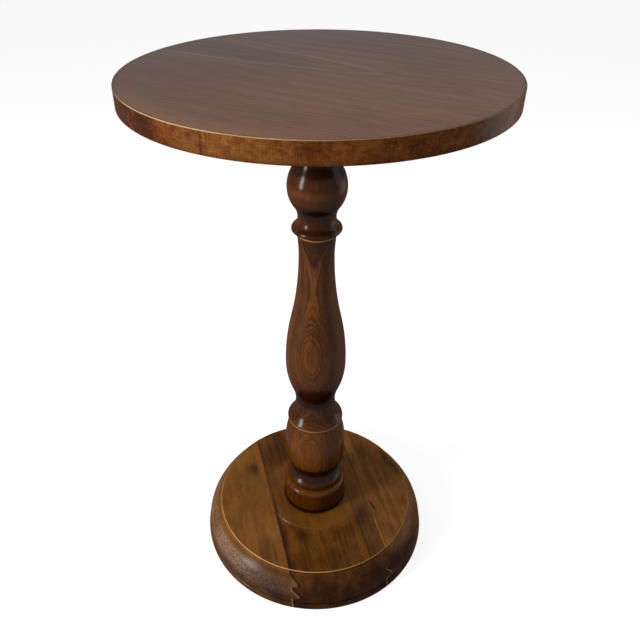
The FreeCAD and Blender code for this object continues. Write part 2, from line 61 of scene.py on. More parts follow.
class Finish:
    """One procedural material. Places and sizes are millimetres in the piece's own space.

    Its colour is built up: each stain is laid over what is there.
    """

    def __init__(self, name):
        self.material = bpy.data.materials.new(name)
        self.material.use_nodes = True
        self.tree = self.material.node_tree
        self.tree.nodes.clear()
        self.shader = self.node("ShaderNodeBsdfPrincipled")
        output = self.node("ShaderNodeOutputMaterial")
        self.feed(output.inputs["Surface"], self.shader.outputs["BSDF"])
        self.colour = None

    def node(self, kind, **settings):
        made = self.tree.nodes.new(kind)
        for key, value in settings.items():
            setattr(made, key, value)
        return made

    def feed(self, socket, value):
        """Links a socket to another, or gives it a plain value."""
        if isinstance(value, bpy.types.NodeSocket):
            self.tree.links.new(value, socket)
        else:
            socket.default_value = value

    def place(self, turn=0.0, shift=(0, 0, 0)):
        """The point in millimetres, turned about the table's axis and then shifted."""
        mapping = self.node("ShaderNodeMapping")
        self.feed(mapping.inputs["Vector"], self.node("ShaderNodeTexCoord").outputs["Object"])
        mapping.inputs["Scale"].default_value = (1 / MM,) * 3
        mapping.inputs["Rotation"].default_value = (0, 0, turn)
        mapping.inputs["Location"].default_value = shift
        return mapping.outputs["Vector"]

    def parts(self, vector):
        """The X, Y and Z of a vector."""
        split = self.node("ShaderNodeSeparateXYZ")
        self.feed(split.inputs[0], vector)
        return split.outputs[0], split.outputs[1], split.outputs[2]

    def join(self, x, y, z):
        made = self.node("ShaderNodeCombineXYZ")
        for socket, value in zip(made.inputs, (x, y, z)):
            self.feed(socket, value)
        return made.outputs[0]

    def math(self, operation, *values):
        made = self.node("ShaderNodeMath", operation=operation)
        for socket, value in zip(made.inputs, values):
            self.feed(socket, value)
        return made.outputs[0]

    def times(self, first, *others):
        for value in others:
            first = self.math("MULTIPLY", first, value)
        return first

    def over(self, first, second):
        return self.math("DIVIDE", first, second)

    def plus(self, first, second):
        return self.math("ADD", first, second)

    def minus(self, first, second):
        return self.math("SUBTRACT", first, second)

    def away(self, value, place):
        """How far the value is from a place, on either side of it."""
        return self.math("ABSOLUTE", self.minus(value, place))

    def sway(self, noise, reach):
        """Makes noise sway about 0, by half of the reach at most."""
        return self.times(self.minus(noise, 0.5), reach)

    def reach(self, x, y):
        """How far a point is from an upright axis."""
        return self.vector("LENGTH", self.join(x, y, 0))

    def azimuth(self, x, y):
        """Where a point is round the table, in degrees to the right of the front."""
        return self.math("DEGREES", self.math("ARCTAN2", x, self.times(y, -1)))

    def vector(self, operation, *values):
        made = self.node("ShaderNodeVectorMath", operation=operation)
        for socket, value in zip(made.inputs, values):
            self.feed(socket, value)
        return made.outputs["Value" if operation == "LENGTH" else "Vector"]

    def noise(self, place, size, detail=2.0, roughness=0.5, distortion=0.0):
        """Soft noise from 0 to 1, with grains of about this size along X, Y and Z."""
        made = self.node("ShaderNodeTexNoise")
        scale = tuple(1 / length for length in size)
        self.feed(made.inputs["Vector"], self.vector("MULTIPLY", place, scale))
        made.inputs["Scale"].default_value = 1
        made.inputs["Detail"].default_value = detail
        made.inputs["Roughness"].default_value = roughness
        made.inputs["Distortion"].default_value = distortion
        return made.outputs["Fac"]

    def fade(self, value, start, end, low=0.0, high=1.0):
        """Eases from low to high while the value goes from start to end."""
        made = self.node("ShaderNodeMapRange", interpolation_type="SMOOTHSTEP")
        for name, amount in (("From Min", start), ("From Max", end), ("To Min", low), ("To Max", high)):
            made.inputs[name].default_value = amount
        self.feed(made.inputs["Value"], value)
        return made.outputs["Result"]

    def line(self, value, place, full, gone, strength):
        """A soft line where the value is at a place: the distances where it is full, and where it is gone."""
        return self.fade(self.away(value, place), full, gone, strength, 0)

    def steps(self, value, stops, interpolation="LINEAR"):
        """A grey or a colour that changes with the value, from (value, grey or colour) pairs."""
        first, last = stops[0][0], stops[-1][0]
        ramp = self.node("ShaderNodeValToRGB")
        ramp.color_ramp.interpolation = interpolation
        elements = ramp.color_ramp.elements
        while len(elements) < len(stops):
            elements.new(0.5)
        for element, (at, shade) in zip(elements, stops):
            element.position = (at - first) / (last - first)
            colour = shade if isinstance(shade, tuple) else (shade,) * 3
            element.color = (*colour, 1)
        self.feed(ramp.inputs["Fac"], self.over(self.minus(value, first), last - first))
        return ramp.outputs["Color"]

    def blend(self, amount, first, second):
        """The first colour where the amount is 0, and the second where it is 1."""
        made = self.node("ShaderNodeMix", data_type="RGBA", blend_type="MIX")
        factor, colours = made.inputs[0], made.inputs[6:8]
        self.feed(factor, amount)
        for socket, shade in zip(colours, (first, second)):
            self.feed(socket, shade if isinstance(shade, bpy.types.NodeSocket) else (*shade, 1))
        return made.outputs[2]

    def stain(self, amount, colour):
        """Lays a colour over what is there."""
        self.colour = self.blend(amount, self.colour, colour)

    def spot(self, place, centre, size, turn):
        """1 in the middle of an oval mark, falling softly to 0 at its edge."""
        mapping = self.node("ShaderNodeMapping", vector_type="TEXTURE")
        self.feed(mapping.inputs["Vector"], place)
        mapping.inputs["Location"].default_value = (*centre, SEAT)
        mapping.inputs["Rotation"].default_value = (0, 0, turn)
        mapping.inputs["Scale"].default_value = (*size, MARK_TALL)
        out = self.vector("LENGTH", mapping.outputs["Vector"])
        return self.fade(out, 1 - MARK_SOFT, 1, 1, 0)

    def rings(self, across, depth, spacing, wander):
        """From 0 to 1 through each growth ring around a pith that runs along the grain."""
        square = self.plus(self.times(across, across), self.times(depth, depth))
        from_pith = self.plus(self.math("SQRT", square), wander)
        return self.math("FRACT", self.over(from_pith, spacing))

    def lift(self, *layers):
        """Adds one bump for each (height, millimetres) pair, the finest last."""
        normal = None
        for height, millimetres in layers:
            bump = self.node("ShaderNodeBump")
            bump.inputs["Distance"].default_value = millimetres * MM
            self.feed(bump.inputs["Height"], height)
            if normal:
                self.feed(bump.inputs["Normal"], normal)
            normal = bump.outputs["Normal"]
        self.feed(self.shader.inputs["Normal"], normal)

    def lacquer(self, roughness, coat, coat_roughness, coat_ior=1.5):
        """Gives the shader the colour and the clear coat over it."""
        self.feed(self.shader.inputs["Base Color"], self.colour)
        self.feed(self.shader.inputs["Roughness"], roughness)
        self.shader.inputs["Specular IOR Level"].default_value = 0
        self.shader.inputs["Coat Weight"].default_value = coat
        self.shader.inputs["Coat Roughness"].default_value = coat_roughness
        self.shader.inputs["Coat IOR"].default_value = coat_ior
        return self.material


# How dark the wood is through one growth ring, as (share of the ring, share).
RING_TONE = ((0, 0.1), (0.45, 0.1), (0.8, 0.75), (0.9, 1.0), (1.0, 0.1))


def ring_lines(finish, rings):
    """Dark late wood that grows through each ring and stops sharply."""
    return finish.steps(rings, RING_TONE)


# Finishes of the top.

# The top from its face to its underside, and the radius where the veneer is darkened at its edge.
TOP_DEPTH = 19.6
VENEER_EDGE = 188.4

# How blunt the veneer's lines bend round the arch, and how fast they spread towards its open end.
FIGURE_BEND = 60
FIGURE_SPREAD = 0.13

# The veneer's arch, in millimetres outwards from its outline: a bright line, and a faint one outside it.
ARCH_LINES = ((-5, 0), (-1.6, 0.6), (0.8, 0.45), (4, 0), (8, 0.0), (11, 0.25), (15, 0))

# How strong the painted golden highlight is beside the veneer's edge, as (degrees to the right of the
# front, share).
EDGE_HIGHLIGHT = ((-180, 0), (-75, 0), (-52, 0.5), (-22, 0.62), (8, 0), (180, 0))

# How golden the edge band is all round it, in the same way: partly its own tone, and partly painted light
# that makes it paler on the lit front left.
BAND_TONE_AND_LIGHT = (
    (-180, 0.45), (-100, 0.45), (-84, 0.4), (-68, 0.1), (-57, -0.15), (-47, 0.0), (-37, 0.5), (-24, 0.82),
    (-10, 0.8), (0, 0.5), (14, 0.66), (30, 0.5), (46, 0.36), (66, 0.55), (90, 0.5), (180, 0.45),
)

# How far the band's upper corner is rubbed through, with a painted highlight on it, round it in the same way.
BAND_WEAR_AND_HIGHLIGHT = (
    (-180, 0.1), (-100, 0.12), (-72, 0.3), (-48, 0.8), (-32, 1.0), (-14, 0.75), (18, 0.3), (50, 0.25),
    (78, 0.12), (100, 0.1), (180, 0.1),
)

# The sum of the band's mottle and patches at which it has its middle tone, and how far down it darkens.
BAND_MIDDLE = 1.28
BAND_SHADE = 15

# Where the band's butt seam is, in the same degrees, and how dark it is from its middle outwards.
BAND_SEAM = -27.3
SEAM_LINES = ((0, 0.25), (0.16, 0.2), (0.3, 0.85), (0.42, 0.3), (0.6, 0))


def make_veneer(settings):
    """Flame-figured veneer: a pale arch that opens to the back left, and straight grain beside it."""
    finish = Finish("Top veneer")
    place = finish.place(settings.figure_turn, settings.figure_apex)
    along, across = finish.parts(place)[:2]
    x, y = finish.parts(finish.place())[:2]
    fibre = finish.noise(place, (26, 0.7, 5), 3, 0.6)
    broad = finish.noise(place, (150, 9, 40), 3, 0.55)
    cloud = finish.noise(place, (70, 45, 60), 2)

    # The figure bends round the arch, whose outline is a parabola.
    warped = finish.plus(across, finish.sway(finish.noise(place, (80, 34, 50), 2), 16))
    square = finish.times(warped, warped)
    bow = settings.arch_bow / MM
    slope = finish.math("SQRT", finish.plus(finish.times(square, 4 / bow ** 2), 1))
    outside = finish.over(finish.minus(finish.over(square, bow), along), slope)
    width = finish.math("SQRT", finish.plus(square, FIGURE_BEND))
    figure = finish.minus(width, finish.times(along, FIGURE_SPREAD))
    lines = ring_lines(finish, finish.math("FRACT", finish.over(figure, settings.line_spacing / MM)))

    finish.colour = finish.blend(finish.fade(broad, 0.3, 0.7), settings.pale_colour, settings.dark_colour)
    finish.stain(finish.times(finish.fade(y, 90, -170), 0.8), settings.front_colour)
    finish.stain(finish.fade(cloud, 0.4, 0.7, 0, 0.35), settings.cloud_colour)
    finish.stain(finish.fade(x, 0, -180, 0, 0.4), settings.dark_colour)
    finish.stain(finish.times(lines, finish.fade(broad, 0.35, 0.65, 0.12, 0.6)), settings.line_colour)
    finish.stain(finish.fade(fibre, 0.42, 0.75, 0, 0.75), settings.line_colour)
    heart = finish.times(finish.fade(outside, -1.5, -12), finish.fade(along, 60, 125, 0.05, 0.6))
    finish.stain(finish.times(heart, finish.fade(broad, 0.3, 0.6, 0.5, 1)), settings.heart_colour)
    arch = finish.steps(outside, ARCH_LINES)
    finish.stain(finish.times(arch, finish.fade(broad, 0.2, 0.6, 1, 0.6)), settings.arch_colour)

    radius = finish.reach(x, y)
    # A painted golden highlight beside the edge, strongest at the front left.
    glow = finish.steps(finish.azimuth(x, y), EDGE_HIGHLIGHT, "EASE")
    finish.stain(finish.times(glow, finish.fade(radius, 162, 187)), settings.edge_highlight_colour)
    finish.stain(finish.fade(radius, VENEER_EDGE - 1.2, VENEER_EDGE, 0, 0.9), settings.line_colour)
    finish.lift((cloud, 0.08), (fibre, 0.02))
    return finish.lacquer(finish.fade(fibre, 0.2, 0.8, 0.5, 0.6), settings.coat, settings.coat_roughness)


def make_band(settings):
    """Mottled golden edge band, with fine streaks both ways and its butt seam at the front left."""
    finish = Finish("Edge band veneer")
    place = finish.place()
    x, y, up = finish.parts(place)
    azimuth = finish.azimuth(x, y)
    upright = finish.noise(place, (0.8, 0.8, 16), 3, 0.6)
    level = finish.noise(place, (30, 30, 0.7), 3, 0.6)
    mottle = finish.noise(place, (5.5, 5.5, 4.5), 4, 0.65, 0.5)
    patch = finish.noise(place, (26, 26, 20), 2, 0.5)

    shade = finish.plus(finish.times(mottle, 1.6), finish.times(patch, 0.9))
    # The band's tone round it: partly its own, partly painted light on the front left.
    shade = finish.plus(finish.minus(shade, BAND_MIDDLE), finish.steps(azimuth, BAND_TONE_AND_LIGHT, "EASE"))
    tones = (settings.band_dark[:], settings.band_colour[:], settings.band_pale[:])
    finish.colour = finish.steps(shade, tuple(zip((0.0, 0.5, 1.0), tones)))
    finish.stain(finish.fade(upright, 0.42, 0.68, 0, 0.4), settings.band_dark)
    finish.stain(finish.fade(level, 0.42, 0.7, 0, 0.4), settings.band_dark)
    finish.stain(finish.fade(up, TOP_FACE - BAND_SHADE, TOP_FACE - TOP_DEPTH, 0, 0.45), settings.band_dark)
    finish.stain(finish.steps(finish.away(azimuth, BAND_SEAM), SEAM_LINES), settings.band_dark)

    # The pale upper corner: rubbed stain, and a painted highlight brightest at the front left.
    corner = finish.fade(up, TOP_FACE - 0.75, TOP_FACE - 0.25)
    patchy = finish.fade(mottle, 0.35, 0.6, 1.0, 0.7)
    wear_and_highlight_mask = finish.times(corner, finish.steps(azimuth, BAND_WEAR_AND_HIGHLIGHT, "EASE"), patchy)
    finish.stain(wear_and_highlight_mask, settings.band_wear_and_highlight)
    finish.lift((mottle, 0.06), (upright, 0.02))
    return finish.lacquer(0.5, settings.band_coat, settings.coat_roughness)


def make_plain_wood(name, pale, dark, turn=0.0):
    """Plain straight-grained wood for the pieces under the top's veneer."""
    finish = Finish(name)
    place = finish.place(turn)
    streak = finish.noise(place, (60, 1.6, 1.6), 3, 0.6)
    cloud = finish.noise(place, (70, 25, 25), 2)
    shade = finish.plus(finish.times(streak, 0.6), finish.times(cloud, 0.4))
    finish.colour = finish.blend(finish.fade(shade, 0.3, 0.7), pale, dark)
    finish.lift((streak, 0.03))
    return finish.lacquer(0.6, 0.1, 0.4)


# Finish of the column.

# Stain that gathers in the turned hollows, with painted shade there and at the foot, and that wears thin on
# the lips, with painted highlights there: (height, tone), 0.5 is plain.
FOOT_TO_BELLY = (
    (54, 0.0), (57, 0.1), (63, 0.3), (84, 0.32), (89.5, 0.5), (91.3, 0.7), (94, 0.26), (100, 0.32),
    (105, 0.16), (112, 0.1), (119, 0.08), (129, 0.1), (137, 0.32), (147, 0.48), (160, 0.57), (172, 0.56),
    (186, 0.48), (198, 0.5), (201.2, 0.45), (202.6, 0.9), (203.9, 0.9), (205.5, 0.36), (214, 0.24),
    (222, 0.28), (229, 0.24), (237, 0.08), (248, 0.05), (302, 0.53), (318, 0.56),
)
BELLY_TO_BALL = (
    (318, 0.56), (335, 0.5), (370, 0.5), (392, 0.56), (412, 0.5), (432, 0.42), (450, 0.35), (466, 0.3),
    (468.6, 0.3), (469.5, 0.89), (471.0, 0.89), (472.2, 0.36), (478, 0.29), (484, 0.33), (489, 0.32),
    (496, 0.2), (503, 0.03), (509, 0.22), (516, 0.52), (525, 0.62), (535, 0.5), (546, 0.16), (558, 0.05),
    (597, 0.05),
)

# How clearly the rings show at each height.
RING_SHOW = (
    (54, 0.3), (125, 0.35), (140, 0.4), (180, 0.45), (195, 0.7), (206, 0.8), (235, 0.8), (262, 0.5),
    (285, 0.8), (400, 1.0), (465, 0.8), (472, 0.12), (492, 0.12), (515, 0.25), (597, 0.22),
)

# How pale the wood is through the log, in millimetres from the ring that the column's axis is on.
LOG_TONE = (
    (-48, 0.3), (6, 0.35), (10, 0.5), (14, 0.62), (16.5, 0.5), (19, 0.3), (22.0, 0.42), (24.8, 0.6),
    (26.0, 0.64), (27.5, 0.55), (27.95, 0.95), (28.6, 0.5), (30, 0.4), (36, 0.45), (46, 0.55),
)

# Through the log in the same way: the arms of the V on the shaft, and the gold between them lower down.
V_ARMS = ((22.6, 0), (23.0, 0.65), (23.3, 0.5), (23.8, 0))
V_HEART = ((22.3, 0), (23.4, 0.5), (24.6, 0.5), (24.9, 0))

# The dark ovals on the belly.
OVAL_LINES = (
    (24.9, 0), (25.1, 0.75), (25.4, 0.1), (25.7, 0.1), (25.85, 0.5), (26.05, 0.1), (26.35, 0.1), (26.5, 0.5),
    (26.7, 0.1), (27.0, 0.1), (27.1, 0.4), (27.3, 0),
)

# The gold inside the arches on the bell, and their dark lines.
BELL_HEART = ((5.6, 0), (6.6, 0.5), (8.8, 0.45), (10.2, 0.05))
BELL_LINES = (
    (2.6, 0), (3.0, 0.5), (3.5, 0.1), (4.9, 0.1), (5.3, 0.7), (5.7, 0.1), (6.9, 0), (7.2, 0.6), (7.5, 0.05),
    (8.6, 0), (8.9, 0.75), (9.2, 0.05), (10.0, 0.0), (10.3, 0.6), (10.6, 0),
)

# Heights at which each part of the figure comes in, and at which it goes: it is full at the second.
INSIDE_FROM = (402, 418)
ARMS_FROM, ARMS_TO = (398, 410), (466, 450)
HEART_FROM, HEART_TO = (370, 384), (408, 396)
OVALS_TO = (395, 380)
BELL_FROM, BELL_TO = (204, 207), (236, 226)

# The fine rings between the plain ones are this many times closer.
FINE_RINGS = 2.5


def make_column_wood(settings):
    """Walnut-stained wood, sawn at a slant: ovals on the belly, a V on the shaft, arches on the bell."""
    finish = Finish("Stained column wood")
    place = finish.place(settings.pith_turn)
    x, y, up = finish.parts(place)
    fibre = finish.noise(place, (0.8, 0.8, 34), 3, 0.65)
    streak = finish.noise(place, (4, 4, 120), 3, 0.55)
    cloud = finish.noise(place, (24, 24, 50), 2)

    # How deep in the log each point is, past the ring that the column's axis is on.
    pith = settings.pith_distance / MM
    wander = finish.sway(finish.noise(place, (22, 22, 60), 3), settings.ring_wander / MM)
    slant = finish.times(finish.minus(up, settings.slant_height / MM), settings.pith_slant)
    from_pith = finish.reach(x, finish.minus(y, pith))
    depth = finish.plus(finish.minus(from_pith, pith), finish.plus(slant, wander))
    spacing = settings.ring_spacing / MM
    rings = finish.math("FRACT", finish.over(depth, spacing))
    fine_rings = finish.math("FRACT", finish.over(depth, spacing / FINE_RINGS))
    shade = finish.plus(finish.steps(depth, LOG_TONE, "EASE"), finish.sway(streak, 1.1))
    finish.colour = finish.blend(finish.fade(shade, 0.05, 0.95), settings.mid_colour, settings.pale_colour)

    # The figure, from the shaft down to the bell.
    inside = finish.times(finish.fade(depth, 23.5, 24.1, 0, 0.6), finish.fade(up, *INSIDE_FROM))
    finish.stain(inside, settings.line_colour)
    arms = finish.steps(depth, V_ARMS, "EASE")
    arms = finish.times(arms, finish.fade(up, *ARMS_FROM), finish.fade(up, *ARMS_TO))
    finish.stain(arms, settings.gold_colour)
    heart = finish.steps(depth, V_HEART, "EASE")
    heart = finish.times(heart, finish.fade(up, *HEART_TO), finish.fade(up, *HEART_FROM))
    finish.stain(heart, settings.gold_colour)
    ovals = finish.steps(depth, OVAL_LINES)
    finish.stain(finish.times(ovals, finish.fade(up, *OVALS_TO)), settings.line_colour)
    on_bell = finish.times(finish.fade(up, *BELL_FROM), finish.fade(up, *BELL_TO))
    finish.stain(finish.times(finish.steps(depth, BELL_HEART, "EASE"), on_bell), settings.gold_colour)
    finish.stain(finish.times(finish.steps(depth, BELL_LINES), on_bell), settings.line_colour)

    # The growth rings, the fibres and the clouds.
    show = finish.steps(up, RING_SHOW)
    lines = finish.times(show, finish.fade(streak, 0.35, 0.65, 0.35, 0.75), ring_lines(finish, rings))
    finish.stain(lines, settings.line_colour)
    lines = finish.times(show, finish.fade(cloud, 0.35, 0.6, 0.4, 0.6), ring_lines(finish, fine_rings))
    finish.stain(lines, settings.line_colour)
    finish.stain(finish.fade(fibre, 0.42, 0.72, 0, 0.6), settings.line_colour)
    finish.stain(finish.fade(cloud, 0.45, 0.7, 0, 0.4), settings.red_colour)

    # The two tables of stain, painted shade and painted highlights meet on the belly, so the tone that they
    # share there is taken off once.
    tone = finish.plus(finish.steps(up, FOOT_TO_BELLY, "EASE"), finish.steps(up, BELLY_TO_BALL, "EASE"))
    tone = finish.minus(tone, BELLY_TO_BALL[0][1])
    # Stain and painted shade in the hollows, gold stain, thin stain and painted highlights on the lips.
    finish.stain(finish.fade(tone, 0.5, 0.0, 0, 0.95), settings.hollow_stain_and_shade_colour)
    finish.stain(finish.fade(tone, 0.5, 0.75, 0, 0.5), settings.gold_colour)
    finish.stain(finish.fade(tone, 0.75, 1.0, 0, 0.95), settings.wear_and_highlight_colour)
    finish.lift((cloud, 0.25), (fibre, 0.005))
    return finish.lacquer(0.5, settings.coat, settings.coat_roughness, settings.coat_ior)


# Finishes of the base.

# Radii on the base: the edge of the raised seat, and the rim's upper corner.
SEAT_EDGE = 69.4
RIM_CORNER = 134.7

# Where something begins or ends on the base, as radii: the painted shade round the column's foot, the amber
# disc, the rim, and the end grain on the rim. As heights: the seat, and the rim's stain and painted shade
# from its top down.
FOOT_SHADE = (42.3, 45.5)
DISC_EDGE = (67, 78)
RIM_FROM = (134.5, 137)
END_GRAIN_FROM = (138, 144)
SEAT_FROM = (52, 53)
RIM_DOWN = (50, 29)

# Painted shade in the groove at the floor, as heights and as radii.
GROOVE_DOWN, GROOVE_IN = (10.6, 9.4), (152.4, 151.0)

# The side where the rim's corner is rubbed most and its painted highlight is brightest, in degrees to the
# right of the front.
WEAR_AND_HIGHLIGHT_SIDE = -30

# How dark the rim is, partly stain and partly painted shade, as (degrees to the right of the front, share).
# The step is the left joint.
RIM_STAIN_AND_SHADE = (
    (-180, 0.6), (-110, 0.5), (-75, 0.55), (-55, 0.8), (-38, 1.0), (-12, 0.97), (-11.5, 0.88), (5, 0.9),
    (25, 0.95), (45, 1.0), (62, 0.98), (80, 0.7), (110, 0.6), (180, 0.6),
)

# How clearly the end grain's pale pores show round the rim, in the same way: they make a painted highlight
# on the front left.
FLECK_AND_HIGHLIGHT_SHOW = ((-180, 0.3), (-75, 0.4), (-58, 1.0), (-42, 1.0), (-28, 0.5), (-14, 0.3), (180, 0.3))

# The four boards. A pith is (across, height), and a mark is (centre, size, turn, strength). Flecks say how
# strongly the end grain's pores show pale, with a painted highlight, and figure how strongly the grain shows.
BOARDS = (
    {
        "side": "left", "finish": "Light board", "joints": (LEFT_JOINT,), "pith": (-120, -60), "spacing": 4.5,
        "flecks_and_highlight": 0.85, "figure": 0.6,
        "marks": (
            ((-93, 38), (14, 19), 0.2, 0.9), ((-109, -14), (2.5, 2), 0, 0.6),
            ((-70, 60), (12, 60), 0.25, 0.55), ((-58, -108), (22, 36), 0.25, 0.5),
        ),
    },
    {
        "side": "centre", "finish": "Streaked board", "joints": (LEFT_JOINT, STRIP_JOINT), "pith": (10, -30),
        "spacing": 3.2, "flecks_and_highlight": 0, "figure": 1,
        "marks": (
            ((-60, 74), (28, 46), 0.1, 1.0), ((-40, -80), (5, 45), 0.25, 0.9),
            ((-16, -78), (12, 16), 0.55, 0.6), ((12, -84), (6, 22), 0.4, 0.5),
            ((10, -124), (80, 30), 0.12, 0.45), ((30, -76), (5, 26), 0.45, 0.4),
        ),
    },
    {
        "side": "strip", "finish": "Dark strip", "joints": (STRIP_JOINT, RIGHT_JOINT), "pith": (110, 20),
        "spacing": 3.0, "flecks_and_highlight": 0, "figure": 1,
        "marks": (((66, -44), (9, 26), 0.26, 0.6),),
    },
    {
        "side": "right", "finish": "Red board", "joints": (RIGHT_JOINT,), "pith": (120, -70), "spacing": 4.0,
        "flecks_and_highlight": 0, "figure": 1,
        "marks": (
            ((94, 19), (2, 2), 0, 0.7), ((83, -28), (3, 18), 0.42, 0.85), ((112, 58), (9, 42), 0.55, 0.8),
            ((72, 82), (20, 44), 0.25, 0.5), ((104, -104), (34, 18), 0.75, 0.75),
        ),
    },
)


def make_board_wood(board, settings):
    """One board of the base. Its grain runs along the joints, and its end grain shows on the rim."""
    finish = Finish(board["finish"])
    place = finish.place(-settings.joint_turn)
    across, along, up = finish.parts(place)
    here = finish.place()
    x, y = finish.parts(here)[:2]
    radius = finish.reach(x, y)
    azimuth = finish.azimuth(x, y)
    line = settings.line_colour
    figure = board["figure"]
    pores = finish.noise(place, (0.8, 14, 0.8), 2, 0.6)
    streak = finish.noise(place, (6, 90, 6), 3, 0.6)
    cloud = finish.noise(place, (26, 34, 26), 4, 0.6)

    # The board's own grain.
    pale = getattr(settings, board["side"] + "_pale")
    dark = getattr(settings, board["side"] + "_dark")
    shade = finish.plus(finish.times(streak, 0.5), finish.times(cloud, 0.5))
    finish.colour = finish.blend(finish.fade(shade, 0.38, 0.62), pale, dark)
    warp = finish.sway(finish.noise(place, (40, 140, 30), 2), 22)
    sideways = finish.minus(across, board["pith"][0])
    upwards = finish.minus(up, board["pith"][1])
    lines = ring_lines(finish, finish.rings(sideways, upwards, board["spacing"], warp))
    finish.stain(finish.times(lines, finish.fade(cloud, 0.35, 0.65, 0.08 * figure, 0.4 * figure)), line)
    finish.stain(finish.fade(pores, 0.5, 0.78, 0, 0.55 * figure), line)

    # The seat: its amber disc, the marks, the lines that the turning left, a painted shade line in the crease
    # at its raised edge, and painted shade round the column's foot.
    on_seat = finish.fade(up, *SEAT_FROM)
    finish.stain(finish.times(finish.fade(radius, *DISC_EDGE, 0.46, 0), on_seat), settings.seat_colour)
    for centre, size, turn, strength in board["marks"]:
        oval = finish.spot(here, centre, size, turn)
        finish.stain(finish.times(oval, finish.fade(streak, 0.3, 0.6, 0.5, 1.0), strength), line)
    turning = finish.noise(finish.join(radius, 0, up), (1.3, 1, 1.3), 2)
    finish.stain(finish.fade(turning, 0.5, 0.75, 0, 0.18), line)
    # A painted shade line in the crease at the seat's raised edge.
    crease = finish.line(radius, SEAT_EDGE, 0.2, 1.6, 0.15)
    finish.stain(finish.times(crease, finish.fade(up, 50, 52, 0, 1)), line)
    # Painted shade round the column's foot.
    foot = finish.fade(radius, *FOOT_SHADE, 0.9, 0)
    finish.stain(finish.times(foot, on_seat), settings.joint_and_shade_colour)

    # The rim: its stain and painted shade, the pale pores under a painted highlight, and painted shade in the
    # groove at the floor.
    # Stain and painted shade that darken the rim low down and round the right.
    rim = finish.times(finish.fade(radius, *RIM_FROM), finish.fade(up, *RIM_DOWN, 0.42, 1.0))
    patchy = finish.fade(cloud, 0.35, 0.6, 0.75, 1)
    finish.stain(finish.times(rim, finish.steps(azimuth, RIM_STAIN_AND_SHADE), patchy), settings.rim_stain_and_shade_colour)
    # Pale pores of the end grain, gathered into a painted highlight on the rim's front left.
    if board["flecks_and_highlight"]:
        fleck = finish.fade(finish.noise(place, (0.6, 6, 0.6), 2, 0.7), 0.42, 0.66, 0, board["flecks_and_highlight"])
        fleck = finish.times(fleck, finish.fade(radius, *END_GRAIN_FROM))
        wear_and_highlight_mask = finish.times(finish.steps(azimuth, FLECK_AND_HIGHLIGHT_SHOW, "EASE"), finish.fade(up, 16, 30, 0.15, 1))
        finish.stain(finish.times(fleck, wear_and_highlight_mask), settings.fleck_and_highlight_colour)
    # Painted shade in the groove at the floor.
    groove = finish.times(finish.fade(up, *GROOVE_DOWN), finish.fade(radius, *GROOVE_IN, 0, 0.85))
    finish.stain(groove, settings.joint_and_shade_colour)

    # The joints, whose teeth bend the lines on the rim.
    tooth = finish.steps(up, [(0, 0), *TOOTH_LINE, (JOINT_TOP, 0)])
    straight = finish.minus(across, finish.times(tooth, TOOTH_DEPTH))
    for joint in board["joints"]:
        show_joint(finish, settings, joint, finish.minus(straight, joint), (along, y, up), radius, streak)

    # The rim's upper corner: rubbed stain, and a painted highlight strongest at the front left.
    corner = finish.times(finish.line(radius, RIM_CORNER, 0.2, 0.85, 1), finish.fade(up, 50, 51.4, 0, 1))
    corner = finish.times(corner, finish.fade(finish.away(azimuth, WEAR_AND_HIGHLIGHT_SIDE), 10, 130, 0.85, 0.25))
    finish.stain(corner, settings.wear_and_highlight_colour)
    finish.lift((cloud, 0.3), (turning, 0.02), (pores, 0.02))
    return finish.lacquer(0.5, settings.coat, settings.coat_roughness, settings.coat_ior)


def show_joint(finish, settings, joint, past, place, radius, streak):
    """Stains one joint: past is how far to its right, and place is (along the joint, y, height)."""
    along, y, up = place
    strength = 0.55
    if joint == LEFT_JOINT:
        strength = 0.8
        beside = finish.line(past, 1.5, 0.8, 3.4, 0.55)
        finish.stain(finish.times(beside, finish.fade(y, 20, -40)), settings.joint_and_shade_colour)
    if joint != STRIP_JOINT:
        tips = finish.line(past, -1.4, 0.3, 1.1, 0.38)
        tips = finish.times(tips, finish.fade(radius, 138, 146), finish.fade(up, 36, 28))
        finish.stain(tips, settings.wear_and_highlight_colour)
    glue = finish.line(past, 0, 0.25, 1.1, 1)
    finish.stain(finish.times(glue, finish.fade(radius, 64, 70, 0.3, strength)), settings.joint_and_shade_colour)
    if joint == RIGHT_JOINT:
        pale = finish.times(finish.line(past, 1.3, 0.3, 1.3, 0.5), finish.fade(along, -50, -85))
        pale = finish.times(pale, finish.fade(streak, 0.3, 0.6, 0.3, 1), finish.fade(up, 51, 53))
        finish.stain(pale, settings.wear_and_highlight_colour)


# Finishes of the fixings and the pads.

STEEL_BRIGHT = (0.62, 0.62, 0.60)
STEEL_DULL = (0.45, 0.45, 0.44)
FELT_DARK = (0.06, 0.036, 0.02)
FELT_PALE = (0.16, 0.105, 0.068)


def make_steel(name):
    """Zinc-plated steel with fine turned scratches and a dull bloom."""
    finish = Finish(name)
    place = finish.place()
    scratch = finish.noise(place, (0.3, 0.3, 4), 3, 0.6)
    bloom = finish.noise(place, (5, 5, 5), 3, 0.6)
    colour = finish.blend(finish.fade(bloom, 0.35, 0.7), STEEL_BRIGHT, STEEL_DULL)
    finish.lift((bloom, 0.02), (scratch, 0.004))
    finish.feed(finish.shader.inputs["Base Color"], colour)
    finish.feed(finish.shader.inputs["Roughness"], finish.fade(scratch, 0.3, 0.7, 0.28, 0.42))
    finish.shader.inputs["Metallic"].default_value = 1
    return finish.material


